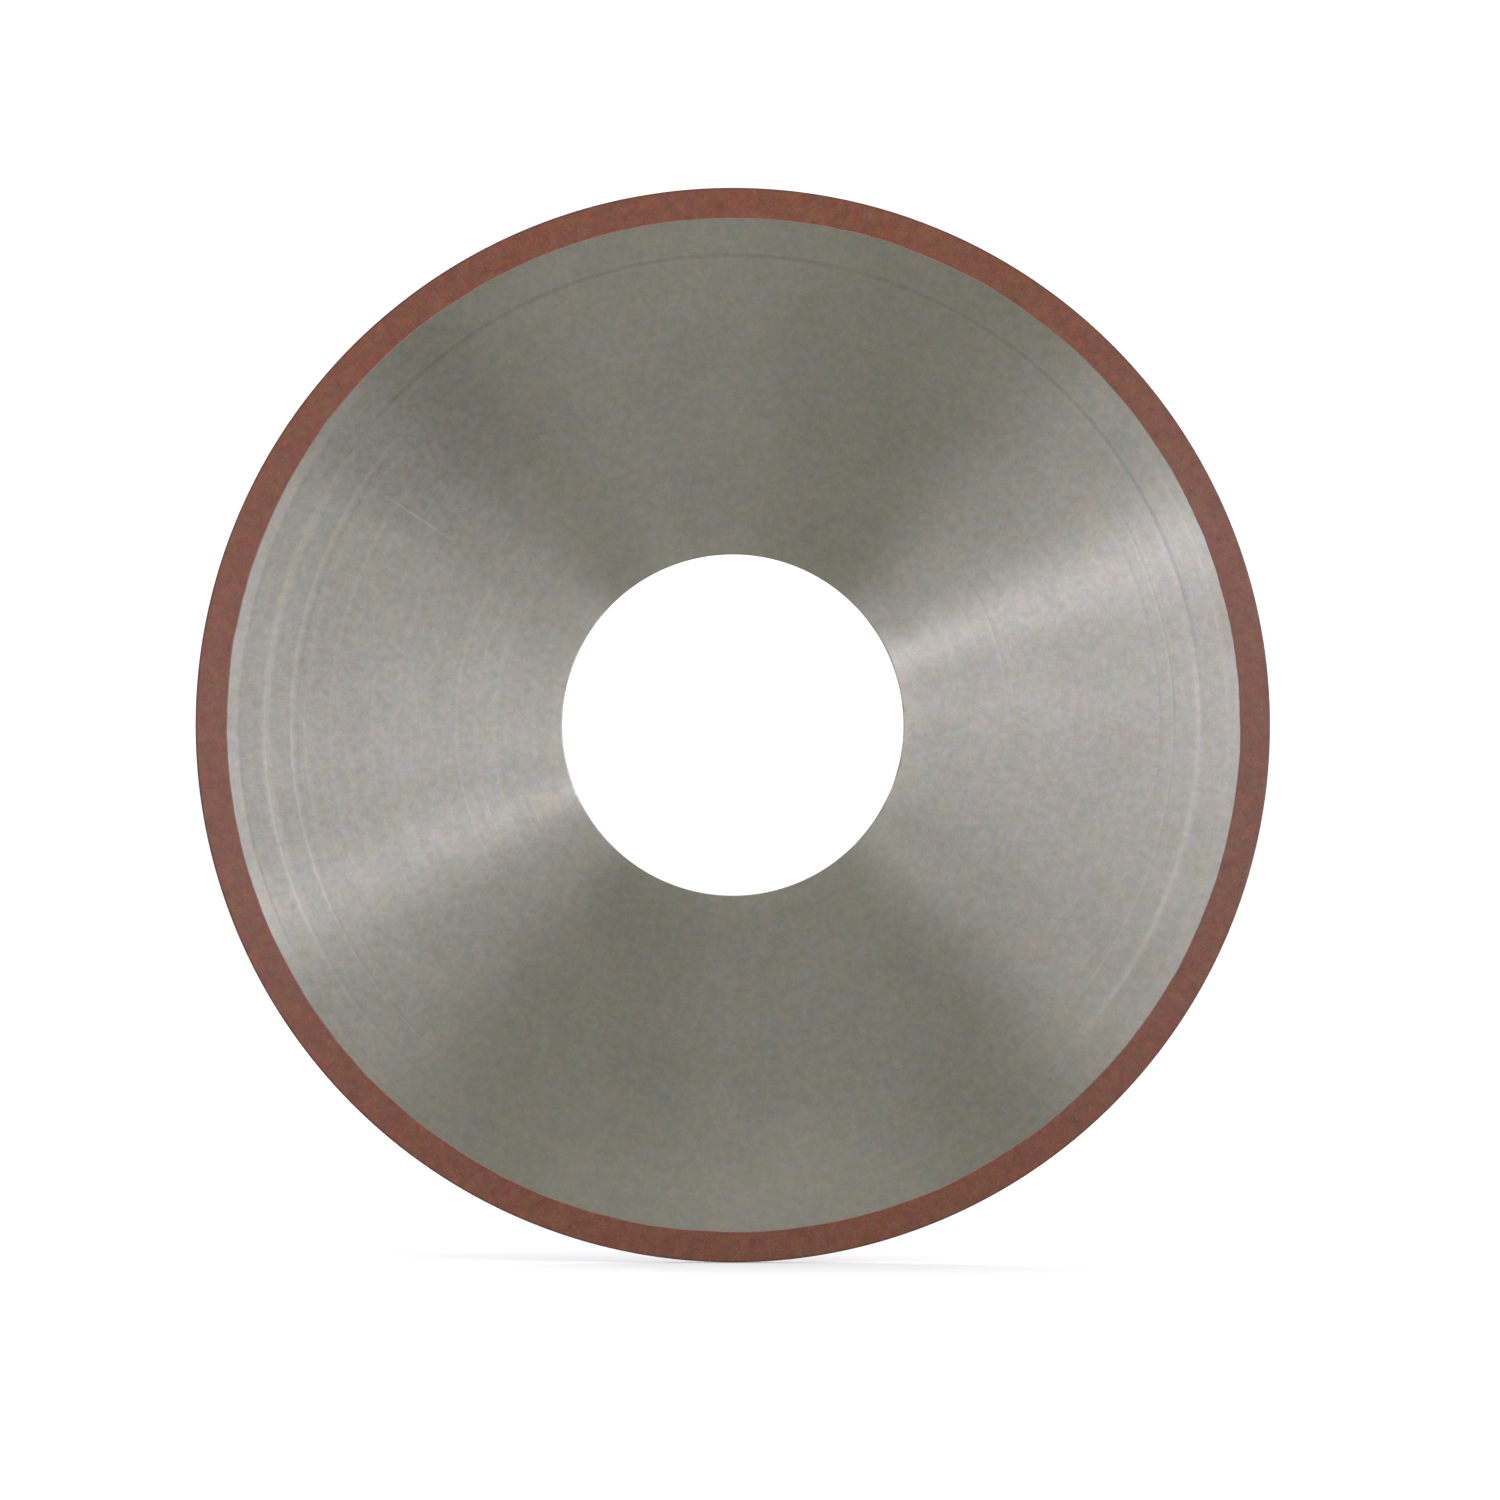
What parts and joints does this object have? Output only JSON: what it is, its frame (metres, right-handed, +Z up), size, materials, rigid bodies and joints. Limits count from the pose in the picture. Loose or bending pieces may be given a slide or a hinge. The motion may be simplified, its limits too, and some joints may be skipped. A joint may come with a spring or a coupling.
{
  "type": "diamond grinding wheel",
  "caption": "Thin straight grinding wheel: a turned steel disc with a plain bore and a narrow continuous resin-bond diamond rim standing slightly proud of its faces.",
  "frame": {"origin": "centre of the wheel, on its axis and halfway through its thickness", "axes": "+Y along the wheel's axis, +Z up with the wheel standing on edge, +X to the right seen from -Y"},
  "size_m": [0.1, 0.0012, 0.1],
  "materials": {
    "core_steel": "satin",
    "primer_resin": "satin",
    "abrasive_resin": "matte"
  },
  "bodies": {
    "root": {"core_disc": "core_steel", "bond_layer": "primer_resin", "abrasive_rim": "abrasive_resin"}
  },
  "joints": []
}
